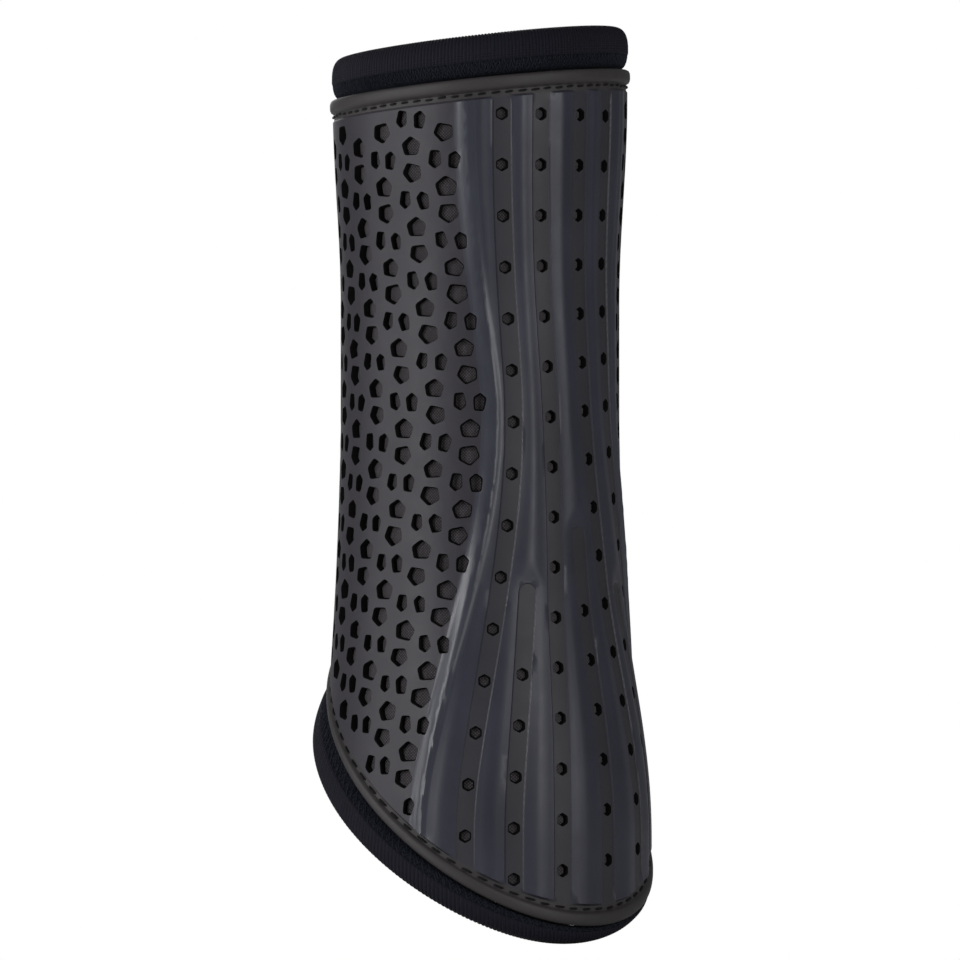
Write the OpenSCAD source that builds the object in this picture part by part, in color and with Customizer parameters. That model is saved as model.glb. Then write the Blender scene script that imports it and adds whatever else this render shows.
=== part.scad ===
// Tendon boot for a horse's leg: a moulded strike shell over a padded liner,
// with soft collars at both ends, closed round the leg by three hook-and-loop straps.
// Z runs up the leg's axis. -Y is the tendon side, where the shell reaches lowest.
// Every piece is placed by a turn round the leg (0 at -Y, growing towards +X),
// a depth in from the shell's outer face, and a height.

/* [Boot] */
// Height from the lowest edge to the top of the collar
boot_h = 292; // [240:1:340]
// Radius of the shell's outer face at the waist
waist_r = 45; // [38:0.5:56]
// How much the top end opens out
top_flare = 2.6; // [0:0.1:8]
// How much the bottom end opens out all the way round
low_flare = 4; // [0:0.1:8]
// How much more the tendon side opens out over the fetlock
fetlock_flare = 7.2; // [0:0.1:12]

/* [Cut of the ends] */
// Half the height difference between the closing side and the tendon side at the bottom edge
bottom_drop = 45; // [20:1:55]
// Half the height difference round the top edge
top_drop = 5; // [0:0.5:10]
// Direction in which the top edge is highest
top_high_turn = 40; // [-60:5:60]

/* [Layers] */
// Wall of the moulded shell
shell_t = 2.2; // [1.5:0.1:3.5]
// Mesh layer seen through the perforations
mesh_t = 1.0; // [0.6:0.1:2]
// Shock-absorbing foam
foam_t = 4.0; // [2:0.1:6]
// Lining against the skin
lining_t = 1.0; // [0.6:0.1:2]
// Clearance between one layer and the next
layer_gap = 0.1; // [0.05:0.05:0.3]

/* [Shell edge] */
// Width of the raised bead along both edges of the shell
bead_w = 4.2; // [2:0.1:6]
// How far the bead stands out
bead_out = 0.9; // [0.3:0.1:1.5]
// Width of the groove that the edge seam lies in
seam_w = 2.2; // [1.5:0.1:4]
// Depth of that groove
seam_d = 0.5; // [0.2:0.05:1]
// Thickness of the seam's thread
thread_t = 0.8; // [0.4:0.1:1.2]

/* [Collars] */
// Height of the top collar above the shell
top_collar_h = 14; // [8:0.5:22]
// Thickness of the collars' foam
collar_t = 7.4; // [5:0.1:10]
// Least drop of the bottom collar below the shell
low_collar_min = 3.8; // [3:0.1:8]
// Greatest drop of the bottom collar below the shell
low_collar_max = 18; // [10:0.5:24]
// Direction in which the bottom collar is narrowest
low_collar_turn = 25; // [-40:5:40]
// Thickness of the ribbed elastic binding and of the knitted facing
binding_t = 0.9; // [0.5:0.1:1.5]

/* [Opening] */
// Direction of the line that the wing folds about
hinge_turn = 48; // [40:1:70]
// Direction of the line where the closing edges meet
closing_line = 156; // [152:1:180]
// Gap between the boot and the wing at the fold
fold_gap = 0.4; // [0.2:0.1:1]
// Thickness of the tape folded round the two closing edges
tape_t = 0.8; // [0.5:0.1:1.5]
// Width of that tape on each face
tape_w = 8; // [5:0.5:12]
// Thickness of the tongue under the closing edges
tongue_t = 2.5; // [1.5:0.1:4]

/* [Straps] */
// Width of a strap, where the closing edges are long enough for three of them
strap_w = 34; // [20:1:42]
// From the low end of the closing edges up to the lowest strap's middle
strap_low_in = 33.2; // [32:0.1:45]
// From the high end of the closing edges down to the highest strap's middle
strap_high_in = 34.17; // [32:0.01:45]
// Thickness of the strap's webbing
strap_t = 2.0; // [1.2:0.1:3]
// Thickness of the hook tape and of the loop tape
hook_t = 1.0; // [0.6:0.1:1.5]
// Clearance between the closed hook tape and the loop tape
hook_gap = 0.5; // [0.4:0.05:1]
// Turn from the closing line back to where a strap leaves its anchor
strap_back = 38; // [30:1:44]
// Turn from the closing line on to the end of a strap's pull tab
strap_reach = 46; // [38:1:47]

/* [Hidden] */

shell_color = "#37363c";
mesh_color = "#2b2a2b";
foam_color = "#1c1d22";
lining_color = "#25262b";
binding_color = "#15192a";
facing_color = "#1b2233";
thread_color = "#0c0c0e";
strap_color = "#202126";

turn_step = 12;         // widest turn between two cross-sections
strap_step = 7;         // the same on a strap
plan_h = 292;           // boot height that the five heights below are given for
low_flare_top = 170 * boot_h / plan_h;      // height at which the bottom starts to open out
low_flare_len = 130 * boot_h / plan_h;
fetlock_flare_top = 115 * boot_h / plan_h;
fetlock_flare_len = 85 * boot_h / plan_h;
top_flare_len = 65 * boot_h / plan_h;
seat_gap = 0.2;         // between the shell's edge and its collar
patch_gap = 0.2;        // between the shell and what is sewn on it
bead_round = 1;
seam_slope = 0.6;
half_fold = fold_gap / 2 / waist_r * 57.3;
close_gap = 0.5;        // turn left free between a closing edge and the closing line
strap_turn = closing_line - strap_back;
strap_end_turn = closing_line + strap_reach;
tape_turn = tape_w / waist_r * 57.3;
web_turn = 2.2;         // the tape's fold across a closing edge
strap_names = ["lower", "middle", "upper"];
lining_face = shell_t + mesh_t + foam_t + lining_t + 3 * layer_gap;
facet_sag = (waist_r + low_flare) * (1 - cos(turn_step / 2));
tape_face = lining_face + layer_gap + facet_sag + tape_t;

function ease(t) = let (u = min(max(t, 0), 1)) u * u * (3 - 2 * u);
function mix(a, b, t) = a + (b - a) * t;

// Height of the shell's two edges
top_edge_mid = boot_h - top_collar_h - top_drop;
function top_edge(turn) = top_edge_mid + top_drop * cos(turn - top_high_turn);
function bottom_edge(turn) = low_collar_min + bottom_drop * (1 - cos(turn));

// Radius of the shell's outer face
function face_r(turn, z) = waist_r
    + top_flare * ease((z - (top_edge_mid - top_flare_len - top_drop)) / top_flare_len)
    + low_flare * ease((low_flare_top - z) / low_flare_len)
    + fetlock_flare * ease((fetlock_flare_top - z) / fetlock_flare_len) * (1 + cos(turn)) / 2;

// A point at a turn, a depth in from the shell's face and a height
function at(turn, depth, z) = let (r = face_r(turn, z) - depth)
    [r * sin(turn), -r * cos(turn), z];

// The turns from a to b, in equal steps no wider than step
function turns(a, b, step = turn_step) = let (n = ceil(abs(b - a) / step))
    [for (i = [0 : n]) mix(a, b, i / n)];

// A closed solid through a row of rings that all have the same even number of points
module skin(rings) {
    n = len(rings[0]);
    last = len(rings) - 1;
    points = [for (ring = rings) each ring];
    // the diagonals of both halves run the same way, so that nested layers don't touch
    sides = [for (i = [0 : last - 1]) for (k = [0 : n - 1])
        let (a = i * n + k, b = i * n + (k + 1) % n)
        each k < n / 2 ? [[a, b, b + n], [a, b + n, a + n]] : [[a, b, a + n], [b, b + n, a + n]]];
    // each cap is a strip between the two halves of its ring
    cap = [for (k = [0 : n / 2 - 2]) each [[k, k + 1, n - 2 - k], [k, n - 2 - k, n - 1 - k]]];
    first_cap = [for (t = cap) [t[2], t[1], t[0]]];
    last_cap = [for (t = cap) [for (k = t) last * n + k]];
    polyhedron(points, concat(sides, first_cap, last_cap), convexity = 10);
}

// The heights of the wall's cross-sections: both edges, and equal steps between their seams
wall_levels = 7;
edge_margin = bead_w + seam_w + seam_slope;
function middle_heights(lo, hi, from = 0) = [for (i = [from : wall_levels - from])
    mix(lo + edge_margin, hi - edge_margin, i / wall_levels)];

// One layer of the wall between two depths, from the bottom edge to the top edge
module layer(a, b, outer, inner) {
    skin([for (turn = turns(a, b)) let (
            lo = bottom_edge(turn),
            hi = top_edge(turn),
            rise = concat([lo], middle_heights(lo, hi), [hi]),
            last = len(rise) - 1)
        concat([for (z = rise) at(turn, inner, z)],
            [for (i = [last : -1 : 0]) at(turn, outer, rise[i])])]);
}

// The moulded shell, with a bead and a seam groove along both edges
function edge_steps() = [[0, 0.4 - bead_out], [bead_round, -bead_out],
    [bead_w - bead_round, -bead_out], [bead_w, seam_d], [bead_w + seam_w, seam_d],
    [bead_w + seam_w + seam_slope, 0]];
module moulded_shell(a, b) {
    steps = edge_steps();
    skin([for (turn = turns(a, b)) let (
            lo = bottom_edge(turn),
            hi = top_edge(turn),
            rise = concat([for (s = steps) [s[1], lo + s[0]]],
                [for (z = middle_heights(lo, hi, 1)) [0, z]],
                [for (i = [len(steps) - 1 : -1 : 0]) [steps[i][1], hi - steps[i][0]]]))
        concat([for (p = rise) at(turn, shell_t, p[1])],
            [for (i = [len(rise) - 1 : -1 : 0]) at(turn, rise[i][0], rise[i][1])])]);
}

// The seam's thread, lying in the groove
module seam(a, b, top) {
    near = bead_w + (seam_w - thread_t) / 2;
    skin([for (turn = turns(a, b)) let (z = top ? top_edge(turn) - near - thread_t
            : bottom_edge(turn) + near)
        [at(turn, seam_d - layer_gap, z), at(turn, seam_d - layer_gap, z + thread_t),
            at(turn, seam_d - layer_gap - thread_t, z + thread_t),
            at(turn, seam_d - layer_gap - thread_t, z)]]);
}

// The collars' cross-section: a rounded roll whose angle 90 is its free end
function low_collar_h(turn) = low_collar_min + (low_collar_max - low_collar_min)
    * pow((1 - cos(turn - low_collar_turn)) / 2, 0.7);
function low_collar_out(turn) = mix(-1.2, 3.4, (1 - cos(turn - low_collar_turn)) / 2);
function roll(turn, angle, top, grow) = let (
        tall = top ? top_collar_h - seat_gap - binding_t - layer_gap
            : low_collar_h(turn) - seat_gap - binding_t - layer_gap,
        wide = collar_t / 2 + grow,
        high = tall / 2 + (angle > 0 && angle < 180 ? grow : 0),
        edge = top ? top_edge(turn) + seat_gap : bottom_edge(turn) - seat_gap,
        sense = top ? 1 : -1,
        c = cos(angle),
        s = sin(angle),
        u = sign(c) * pow(abs(c), 0.75) * wide,
        v = sign(s) * pow(abs(s), 0.75) * high,
        shift = top ? 0 : low_collar_out(turn) * (1 + v / high) / 2,
        z = edge + sense * (tall / 2 + v),
        r = face_r(turn, edge) - 0.8 - collar_t / 2 + u + shift)
    [r * sin(turn), -r * cos(turn), z];

module collar_foam(a, b, top) {
    sense = top ? 1 : -1;
    skin([for (turn = turns(a, b))
        [for (k = [0 : 13]) roll(turn, -sense * k * 360 / 14, top, 0)]]);
}

// A strip of fabric lying on the roll between two angles
module collar_strip(a, b, top, from, to, steps) {
    outer = layer_gap + binding_t;
    sweep = [for (k = [0 : steps]) mix(from, to, k / steps)];
    back = [for (k = [steps : -1 : 0]) mix(from, to, k / steps)];
    ring = function (turn) concat([for (g = sweep) roll(turn, g, top, layer_gap)],
        [for (g = back) roll(turn, g, top, outer)]);
    skin([for (turn = turns(a, b)) top ? ring(turn) : [for (k = [2 * steps + 1 : -1 : 0]) ring(turn)[k]]]);
}
binding_from = 8;       // the binding wraps the free end from here to its mirror angle
facing_from = -52;      // the facing lies below it on both faces
module collar_binding(a, b, top) {
    color(binding_color) collar_strip(a, b, top, binding_from, 180 - binding_from, 9);
}
module collar_facing(a, b, top) {
    color(facing_color) {
        collar_strip(a, b, top, facing_from, binding_from - 3, 3);
        collar_strip(a, b, top, 183 - binding_from, 180 - facing_from, 3);
    }
}

// The two ends of the boot and of the wing, as turns round the leg
boot_a = closing_line - 360 + close_gap + web_turn;
boot_b = hinge_turn - half_fold;
wing_a = hinge_turn + half_fold;
wing_b = closing_line - close_gap - web_turn;
mesh_face = shell_t + layer_gap;
foam_face = mesh_face + mesh_t + layer_gap;
skin_face = foam_face + foam_t + layer_gap;

// The tape folded round a closing edge; side is 1 on the wing and -1 on the boot
module edge_tape(side) {
    levels = 8;
    lo = bottom_edge(180) + edge_margin;
    hi = top_edge(180) - edge_margin - 1;
    near = close_gap;
    far = close_gap + tape_turn;
    fold = close_gap + web_turn - 0.15;
    flat = [[far, -layer_gap - tape_t], [near, -layer_gap - tape_t],
        [near, tape_face], [far, tape_face], [far, tape_face - tape_t],
        [fold, tape_face - tape_t], [fold, -layer_gap], [far, -layer_gap]];
    color(binding_color) skin([for (i = [0 : levels]) let (z = mix(lo, hi, i / levels))
        [for (k = [0 : 7]) let (p = flat[side > 0 ? k : 7 - k])
            at(closing_line - side * p[0], p[1], z)]]);
}

// A patch that lies between two depths, two turns and two heights
module patch(a, b, outer, inner, lo, hi, step = strap_step, levels = 3) {
    skin([for (turn = turns(a, b, step)) concat(
        [for (i = [0 : levels]) at(turn, inner, mix(lo, hi, i / levels))],
        [for (i = [levels : -1 : 0]) at(turn, outer, mix(lo, hi, i / levels))])]);
}

module tongue() {
    reach = 20;
    color(foam_color) patch(closing_line - reach, closing_line + reach, tape_face + 0.4,
        tape_face + 0.4 + tongue_t, bottom_edge(180) + 14, top_edge(180) - 12);
}

strap_low_z = bottom_edge(180) + strap_low_in;
strap_pitch = (top_edge(180) - strap_high_in - strap_low_z) / 2;
strap_clear = 8;        // least height left free between two straps
strap_half = min(strap_w, strap_pitch - strap_clear) / 2;
tape_over = 2;          // how far the loop tape reaches past the strap's sides
function strap_z(i) = strap_low_z + i * strap_pitch;
loop_face = -patch_gap - hook_t;
hook_face = loop_face - hook_gap;
strap_face = hook_face - hook_t - layer_gap;
tape_clear = 2;         // turn left free between the edge tape and the loop tape
loop_turn = closing_line + tape_turn + tape_clear;
tab_len = 20;           // turn covered by the pull tab

module loop_tapes() {
    for (i = [0 : 2])
        color(strap_color) patch(loop_turn, strap_end_turn - 1, loop_face, -patch_gap,
            strap_z(i) - strap_half - tape_over, strap_z(i) + strap_half + tape_over);
}

// The stitched patch that holds a strap's end on the wing
module strap_anchors() {
    length = 16;
    for (i = [0 : 2])
        color(strap_color) patch(strap_turn - length, strap_turn - 0.6, strap_face - strap_t,
            -patch_gap, strap_z(i) - strap_half, strap_z(i) + strap_half);
}
module strap(i) {
    color(strap_color) patch(strap_turn, strap_end_turn - tab_len, strap_face - strap_t,
        strap_face, strap_z(i) - strap_half, strap_z(i) + strap_half);
}
module hook(i) {
    edge = 1;
    color(thread_color) patch(loop_turn + 1, strap_end_turn - 4,
        hook_face - hook_t, hook_face,
        strap_z(i) - strap_half + edge, strap_z(i) + strap_half - edge);
}
// The moulded pull tab, with three raised grip bars
module tab(i) {
    bar_out = 0.9;
    bar_turn = 1.6;
    start = strap_end_turn - tab_len + 0.3;
    lo = strap_z(i) - strap_half;
    hi = strap_z(i) + strap_half;
    thick = strap_face - strap_t - 0.4;
    edges = concat([[start, 0], [start + 2, 0]],
        [for (k = [0 : 2]) let (c = start + 6 + k * 5) each [[c - bar_turn, 0],
            [c - bar_turn + 0.5, bar_out], [c + bar_turn - 0.5, bar_out], [c + bar_turn, 0]]],
        [[strap_end_turn, 0]]);
    color(shell_color) skin([for (e = edges)
        [at(e[0], strap_face, lo), at(e[0], strap_face, hi),
            at(e[0], thick - e[1], hi), at(e[0], thick - e[1], lo)]]);
}

color(shell_color) moulded_shell(boot_a, boot_b);  // strike_shell
color(mesh_color) layer(boot_a, boot_b, mesh_face, mesh_face + mesh_t);  // shell_mesh
color(foam_color) layer(boot_a, boot_b, foam_face, foam_face + foam_t);  // foam_pad
color(lining_color) layer(boot_a, boot_b, skin_face, skin_face + lining_t);  // inner_lining
color(foam_color) collar_foam(boot_a, boot_b, true);  // top_collar_foam
collar_binding(boot_a, boot_b, true);  // top_binding
collar_facing(boot_a, boot_b, true);  // top_facing
color(foam_color) collar_foam(boot_a, boot_b, false);  // bottom_collar_foam
collar_binding(boot_a, boot_b, false);  // bottom_binding
collar_facing(boot_a, boot_b, false);  // bottom_facing
color(thread_color) seam(boot_a, boot_b, true);  // top_seam
color(thread_color) seam(boot_a, boot_b, false);  // bottom_seam
edge_tape(-1);  // closing_edge_tape
tongue();
loop_tapes();

color(shell_color) moulded_shell(wing_a, wing_b);  // wing_shell
color(mesh_color) layer(wing_a, wing_b, mesh_face, mesh_face + mesh_t);  // wing_mesh
color(foam_color) layer(wing_a, wing_b, foam_face, foam_face + foam_t);  // wing_foam
color(lining_color) layer(wing_a, wing_b, skin_face, skin_face + lining_t);  // wing_lining
color(foam_color) collar_foam(wing_a, wing_b, true);  // wing_top_collar_foam
collar_binding(wing_a, wing_b, true);  // wing_top_binding
collar_facing(wing_a, wing_b, true);  // wing_top_facing
color(foam_color) collar_foam(wing_a, wing_b, false);  // wing_bottom_collar_foam
collar_binding(wing_a, wing_b, false);  // wing_bottom_binding
collar_facing(wing_a, wing_b, false);  // wing_bottom_facing
color(thread_color) seam(wing_a, wing_b, true);  // wing_top_seam
color(thread_color) seam(wing_a, wing_b, false);  // wing_bottom_seam
edge_tape(1);  // wing_edge_tape
strap_anchors();

for (i = [0 : 2]) {
    strap(i);
    hook(i);
    tab(i);
}
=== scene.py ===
"""Tendon boot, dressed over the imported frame. Sizes are millimetres and turns are degrees
until a point is placed. A turn is measured round the leg from the tendon side."""
import math
import random

import bmesh
import bpy
import numpy as np
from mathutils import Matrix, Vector, kdtree
from mathutils.geometry import delaunay_2d_cdt


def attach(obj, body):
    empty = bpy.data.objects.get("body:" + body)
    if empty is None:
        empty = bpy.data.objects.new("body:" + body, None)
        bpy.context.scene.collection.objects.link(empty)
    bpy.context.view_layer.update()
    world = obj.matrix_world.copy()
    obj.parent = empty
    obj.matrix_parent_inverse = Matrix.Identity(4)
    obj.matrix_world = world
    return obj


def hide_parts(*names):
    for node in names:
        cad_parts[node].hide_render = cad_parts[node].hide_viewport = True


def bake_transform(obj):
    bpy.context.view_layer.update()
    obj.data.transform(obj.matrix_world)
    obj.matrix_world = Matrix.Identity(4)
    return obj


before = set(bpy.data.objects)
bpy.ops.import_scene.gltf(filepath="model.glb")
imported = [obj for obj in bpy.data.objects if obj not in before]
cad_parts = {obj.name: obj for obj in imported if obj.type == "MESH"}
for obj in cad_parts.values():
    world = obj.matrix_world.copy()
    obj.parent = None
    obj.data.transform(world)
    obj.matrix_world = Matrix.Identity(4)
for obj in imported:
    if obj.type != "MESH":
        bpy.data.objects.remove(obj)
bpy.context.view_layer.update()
rng = random.Random(7)

MM = 0.001
CLOSING = 156         # the closing edges meet here
START_TURN = CLOSING - 357.3      # the layers start and stop here, under the edge tapes
END_TURN = CLOSING - 2.7
SPLIT_TURN = 20       # pieces that cross the fold are two pieces, cut here
SHELL_T = 2.2
BEAD_W, BEAD_OUT = 4.2, 0.9
SEAM_W, SEAM_D = 2.2, 0.45
SHEET_SCALE = 0.82    # flat millimetres per degree of turn
TAPE_TURN = 10.19     # turn covered by the tape on a closing edge


# ---------------------------------------------------------------- the boot's shape
def ease(t):
    u = np.clip(t, 0, 1)
    return u * u * (3 - 2 * u)


def mix(a, b, t):
    return a + (b - a) * t


def cosd(turn):
    return np.cos(np.radians(turn))


def top_edge(turn):
    return 273 + 5 * cosd(turn - 40)


def bottom_edge(turn):
    return 3.8 + 45 * (1 - cosd(turn))


def face_r(turn, z):
    """Radius of the shell's outer face."""
    return (45 + 2.6 * ease((z - 203) / 65) + 4 * ease((170 - z) / 130)
            + 7.2 * ease((115 - z) / 85) * (1 + cosd(turn)) / 2)


def at(turn, depth, z):
    """Points in metres at these turns, depths in from the shell's face, and heights."""
    turn, depth, z = np.broadcast_arrays(*(np.asarray(v, float) for v in (turn, depth, z)))
    r = face_r(turn, z) - depth
    a = np.radians(turn)
    return np.stack([r * np.sin(a), -r * np.cos(a), z], -1) * MM


def arc(turn, z):
    """Millimetres per degree along the face."""
    return face_r(turn, z) * math.pi / 180


def panel_mid(z):
    return -6.5 + 13.5 * ease((262 - z) / 205)


def panel_half(z):
    return 32.5 + 35 * ease((180 - z) / 148)


def edge_distance(turn, z):
    return np.minimum(top_edge(turn) - z, z - bottom_edge(turn))


# ---------------------------------------------------------------- making meshes
class Part:
    """Points, faces, finish numbers and flat (along, up) coordinates of one piece."""

    def __init__(self):
        self.points = np.zeros((0, 3))
        self.flat = np.zeros((0, 2))
        self.faces = []
        self.finish = []

    def add(self, points, flat, faces, finish=0):
        start = len(self.points)
        self.points = np.vstack([self.points, np.reshape(points, (-1, 3))])
        self.flat = np.vstack([self.flat, np.reshape(flat, (-1, 2))])
        self.faces += [tuple(start + i for i in f) for f in faces]
        self.finish += [finish] * len(faces) if isinstance(finish, int) else list(finish)
        return start


def grid_faces(rows, cols):
    """Four-sided faces between rows of points that each close on themselves."""
    faces = []
    for r in range(rows - 1):
        for c in range(cols):
            d = (c + 1) % cols
            faces.append((r * cols + c, r * cols + d, (r + 1) * cols + d, (r + 1) * cols + c))
    return faces


def tube(part, rings, flat):
    """A closed skin over rings of points. rings is (count, points in a ring, 3)."""
    n, m = rings.shape[:2]
    faces = grid_faces(n, m)
    faces += [tuple(range(m))[::-1], tuple((n - 1) * m + i for i in range(m))]
    part.add(rings, flat, faces)


def plain_mesh(name, points, faces, finish, flat, sharp):
    mesh = bpy.data.meshes.new(name)
    mesh.from_pydata([tuple(p) for p in points], [], faces)
    mesh.polygons.foreach_set("material_index", finish)
    mesh.shade_smooth()
    mesh.set_sharp_from_angle(angle=math.radians(sharp))
    loops = np.zeros(len(mesh.loops), int)
    mesh.loops.foreach_get("vertex_index", loops)
    uv = mesh.uv_layers.new(name="flat")
    uv.data.foreach_set("uv", flat[loops].astype(np.float32).ravel())
    return mesh


def make(name, part, finishes, sharp=35, mesh=None):
    mesh = mesh or plain_mesh(name, part.points, part.faces, part.finish, part.flat, sharp)
    for m in finishes:
        mesh.materials.append(m)
    obj = bpy.data.objects.new(name, mesh)
    bpy.context.scene.collection.objects.link(obj)
    return obj


def turns_of(points):
    """Each point's turn, counted on from START_TURN as the layers are."""
    turn = np.degrees(np.arctan2(points[:, 0], -points[:, 1]))
    return np.where(turn > CLOSING, turn - 360, turn)


def open_loops(faces):
    """The rings of points round the gaps in these faces, each the way a cap runs."""
    edges = {(a, b) for f in faces for a, b in zip(f, f[1:] + f[:1])}
    after = {b: a for a, b in edges if (b, a) not in edges}
    loops = []
    while after:
        first, here = after.popitem()
        loop = [first]
        while here != first:
            loop.append(here)
            here = after.pop(here)
        loops.append(tuple(loop))
    return loops


def make_pair(name, part, finishes, sharp=35, cap=True):
    """The piece as two objects that meet at SPLIT_TURN: one rides on the boot, and the other
    runs on round to the wing and is attached to neither. Both keep the normals of the whole."""
    whole = plain_mesh(name + "_whole", part.points, part.faces, part.finish, part.flat, sharp)
    normals = np.zeros(len(whole.loops) * 3)
    whole.corner_normals.foreach_get("vector", normals)
    normals = normals.reshape(-1, 3)
    starts = np.zeros(len(whole.polygons), int)
    whole.polygons.foreach_get("loop_start", starts)
    turn = turns_of(part.points)
    made = []
    for label, side in (("boot", False), ("wing", True)):
        kept = [i for i, f in enumerate(part.faces)
                if (np.mean([turn[v] for v in f]) > SPLIT_TURN) == side]
        used = sorted({v for i in kept for v in part.faces[i]})
        place = {v: k for k, v in enumerate(used)}
        faces = [tuple(place[v] for v in part.faces[i]) for i in kept]
        caps = open_loops(faces) if cap else []
        mesh = plain_mesh(f"{name}_on_{label}", part.points[used], faces + caps,
                          [part.finish[i] for i in kept] + [0] * len(caps), part.flat[used],
                          sharp)
        own = [normals[starts[i] + k] for i in kept for k in range(len(part.faces[i]))]
        for face, loop in zip(list(mesh.polygons)[len(faces):], caps):
            own += [face.normal] * len(loop)
        mesh.normals_split_custom_set([tuple(v) for v in own])
        made.append(make(mesh.name, None, finishes, mesh=mesh))
    bpy.data.meshes.remove(whole)
    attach(made[0], "boot")
    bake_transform(made[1])
    return made


# ---------------------------------------------------------------- finishes
def finish(name, color, rough, sheen=0.0, specular=0.5):
    """A material, its node tree and its shader."""
    mat = bpy.data.materials.new(name)
    mat.use_nodes = True
    tree = mat.node_tree
    shader = tree.nodes["Principled BSDF"]
    shader.inputs["Base Color"].default_value = (*color, 1)
    shader.inputs["Roughness"].default_value = rough
    shader.inputs["Sheen Weight"].default_value = sheen
    shader.inputs["Specular IOR Level"].default_value = specular
    return mat, tree, shader


def flat_coords(tree, turn=0.0):
    coords = tree.nodes.new("ShaderNodeUVMap")
    coords.uv_map = "flat"
    move = tree.nodes.new("ShaderNodeMapping")
    move.inputs["Rotation"].default_value = (0, 0, math.radians(turn))
    tree.links.new(coords.outputs["UV"], move.inputs["Vector"])
    return move.outputs["Vector"]


def noise(tree, vector, scale, detail=2.0):
    node = tree.nodes.new("ShaderNodeTexNoise")
    node.inputs["Scale"].default_value = scale
    node.inputs["Detail"].default_value = detail
    tree.links.new(vector, node.inputs["Vector"])
    return node.outputs["Fac"]


def wave(tree, vector, pitch, distortion=0.0):
    """Bands across the vector's X, one every pitch millimetres."""
    node = tree.nodes.new("ShaderNodeTexWave")
    node.wave_profile = "SIN"
    node.inputs["Scale"].default_value = 0.314159 / pitch
    node.inputs["Distortion"].default_value = distortion
    node.inputs["Detail"].default_value = 1.0
    tree.links.new(vector, node.inputs["Vector"])
    return node.outputs["Fac"]


def math_node(tree, kind, a, b):
    node = tree.nodes.new("ShaderNodeMath")
    node.operation = kind
    for socket, value in zip(node.inputs, (a, b)):
        if isinstance(value, (int, float)):
            socket.default_value = value
        else:
            tree.links.new(value, socket)
    return node.outputs["Value"]


def bump(tree, shader, height, distance, strength=1.0, below=None):
    node = tree.nodes.new("ShaderNodeBump")
    node.inputs["Strength"].default_value = strength
    node.inputs["Distance"].default_value = distance * MM
    tree.links.new(height, node.inputs["Height"])
    if below:
        tree.links.new(below.outputs["Normal"], node.inputs["Normal"])
    tree.links.new(node.outputs["Normal"], shader.inputs["Normal"])
    return node


def tint(tree, shader, fac, dark, light, low=0.3, high=0.7):
    ramp = tree.nodes.new("ShaderNodeValToRGB")
    ramp.color_ramp.elements[0].position = low
    ramp.color_ramp.elements[1].position = high
    ramp.color_ramp.elements[0].color = (*dark, 1)
    ramp.color_ramp.elements[1].color = (*light, 1)
    tree.links.new(fac, ramp.inputs["Fac"])
    tree.links.new(ramp.outputs["Color"], shader.inputs["Base Color"])


def rough_between(tree, shader, fac, low, high):
    node = tree.nodes.new("ShaderNodeMapRange")
    node.inputs["To Min"].default_value = low
    node.inputs["To Max"].default_value = high
    tree.links.new(fac, node.inputs["Value"])
    tree.links.new(node.outputs["Result"], shader.inputs["Roughness"])


def rubber(name, dark, light, rough, grain=0.02, specular=0.5):
    """Moulded rubber: a fine mould grain, and a slightly uneven tone and shine."""
    mat, tree, shader = finish(name, light, rough, specular=specular)
    coords = flat_coords(tree)
    tint(tree, shader, noise(tree, coords, 0.035, 3), dark, light)
    rough_between(tree, shader, noise(tree, coords, 0.12, 4), rough - 0.06, rough + 0.08)
    first = bump(tree, shader, noise(tree, coords, 2.6, 3), grain, 0.6)
    bump(tree, shader, noise(tree, coords, 0.3, 2), 0.06, 0.5, first)
    return mat


def woven(name, dark, light, pitch, depth, rough=0.85, sheen=0.2, turn=45.0):
    """Cloth with two crossing sets of threads."""
    mat, tree, shader = finish(name, dark, rough, sheen, specular=0.15)
    one = wave(tree, flat_coords(tree, turn=turn), pitch, 0.4)
    other = wave(tree, flat_coords(tree, turn=turn + 90), pitch, 0.4)
    cloth = math_node(tree, "MULTIPLY", one, other)
    fuzz = noise(tree, flat_coords(tree), 1.4, 3)
    tint(tree, shader, math_node(tree, "ADD", math_node(tree, "MULTIPLY", cloth, 0.6),
                                 math_node(tree, "MULTIPLY", fuzz, 0.5)), dark, light, 0.2, 0.8)
    bump(tree, shader, cloth, depth, 0.9)
    return mat


SIDE = rubber("shell_side", (0.018, 0.0155, 0.0235), (0.025, 0.022, 0.031), 0.5)
FLUTE = rubber("shell_flute", (0.018, 0.019, 0.032), (0.027, 0.029, 0.046), 0.42)
# The ridge finish's lighter, bluer colour is a painted highlight along the ridge band; only its lower
# roughness is the rubber's own.
RIDGE_PAINTED_HIGHLIGHT = rubber("shell_ridge_painted_highlight", (0.028, 0.03, 0.044), (0.04, 0.043, 0.06), 0.32)
LAND = rubber("shell_land", (0.0175, 0.0165, 0.0225), (0.0245, 0.023, 0.031), 0.52)
BEAD = rubber("shell_bead", (0.024, 0.021, 0.023), (0.033, 0.029, 0.031), 0.58)
# The hole walls' near-black colour is painted shade, standing for the shadow down inside each hole.
HOLE_WALL_PAINTED_SHADE = rubber("shell_hole_wall_painted_shade", (0.004, 0.004, 0.004), (0.007, 0.007, 0.007), 0.8, 0.02, 0.05)
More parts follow.
